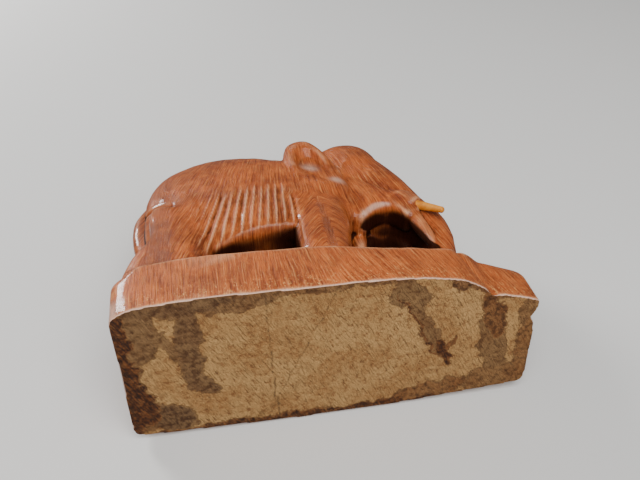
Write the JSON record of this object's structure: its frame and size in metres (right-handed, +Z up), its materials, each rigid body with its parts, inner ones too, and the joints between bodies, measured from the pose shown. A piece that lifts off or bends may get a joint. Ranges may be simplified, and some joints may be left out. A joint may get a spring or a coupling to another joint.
{
  "type": "carved wooden elephant",
  "caption": "Elephant figurine walking on a plinth, carved in one block of stained and varnished wood, with pale tusk pegs let into its cheeks.",
  "frame": {"origin": "middle of the plinth's flat underside", "axes": "+X towards the elephant's head, +Y towards its left side, +Z up"},
  "size_m": [0.14, 0.06, 0.12],
  "materials": {
    "varnished_wood": "reddish-brown stain under clear gloss varnish, with a bare sawn underside",
    "tusk": "pale yellow wood, satin"
  },
  "bodies": {
    "root": {"carved_block": "varnished_wood", "tusk_right": "tusk", "tusk_left": "tusk"}
  },
  "joints": []
}
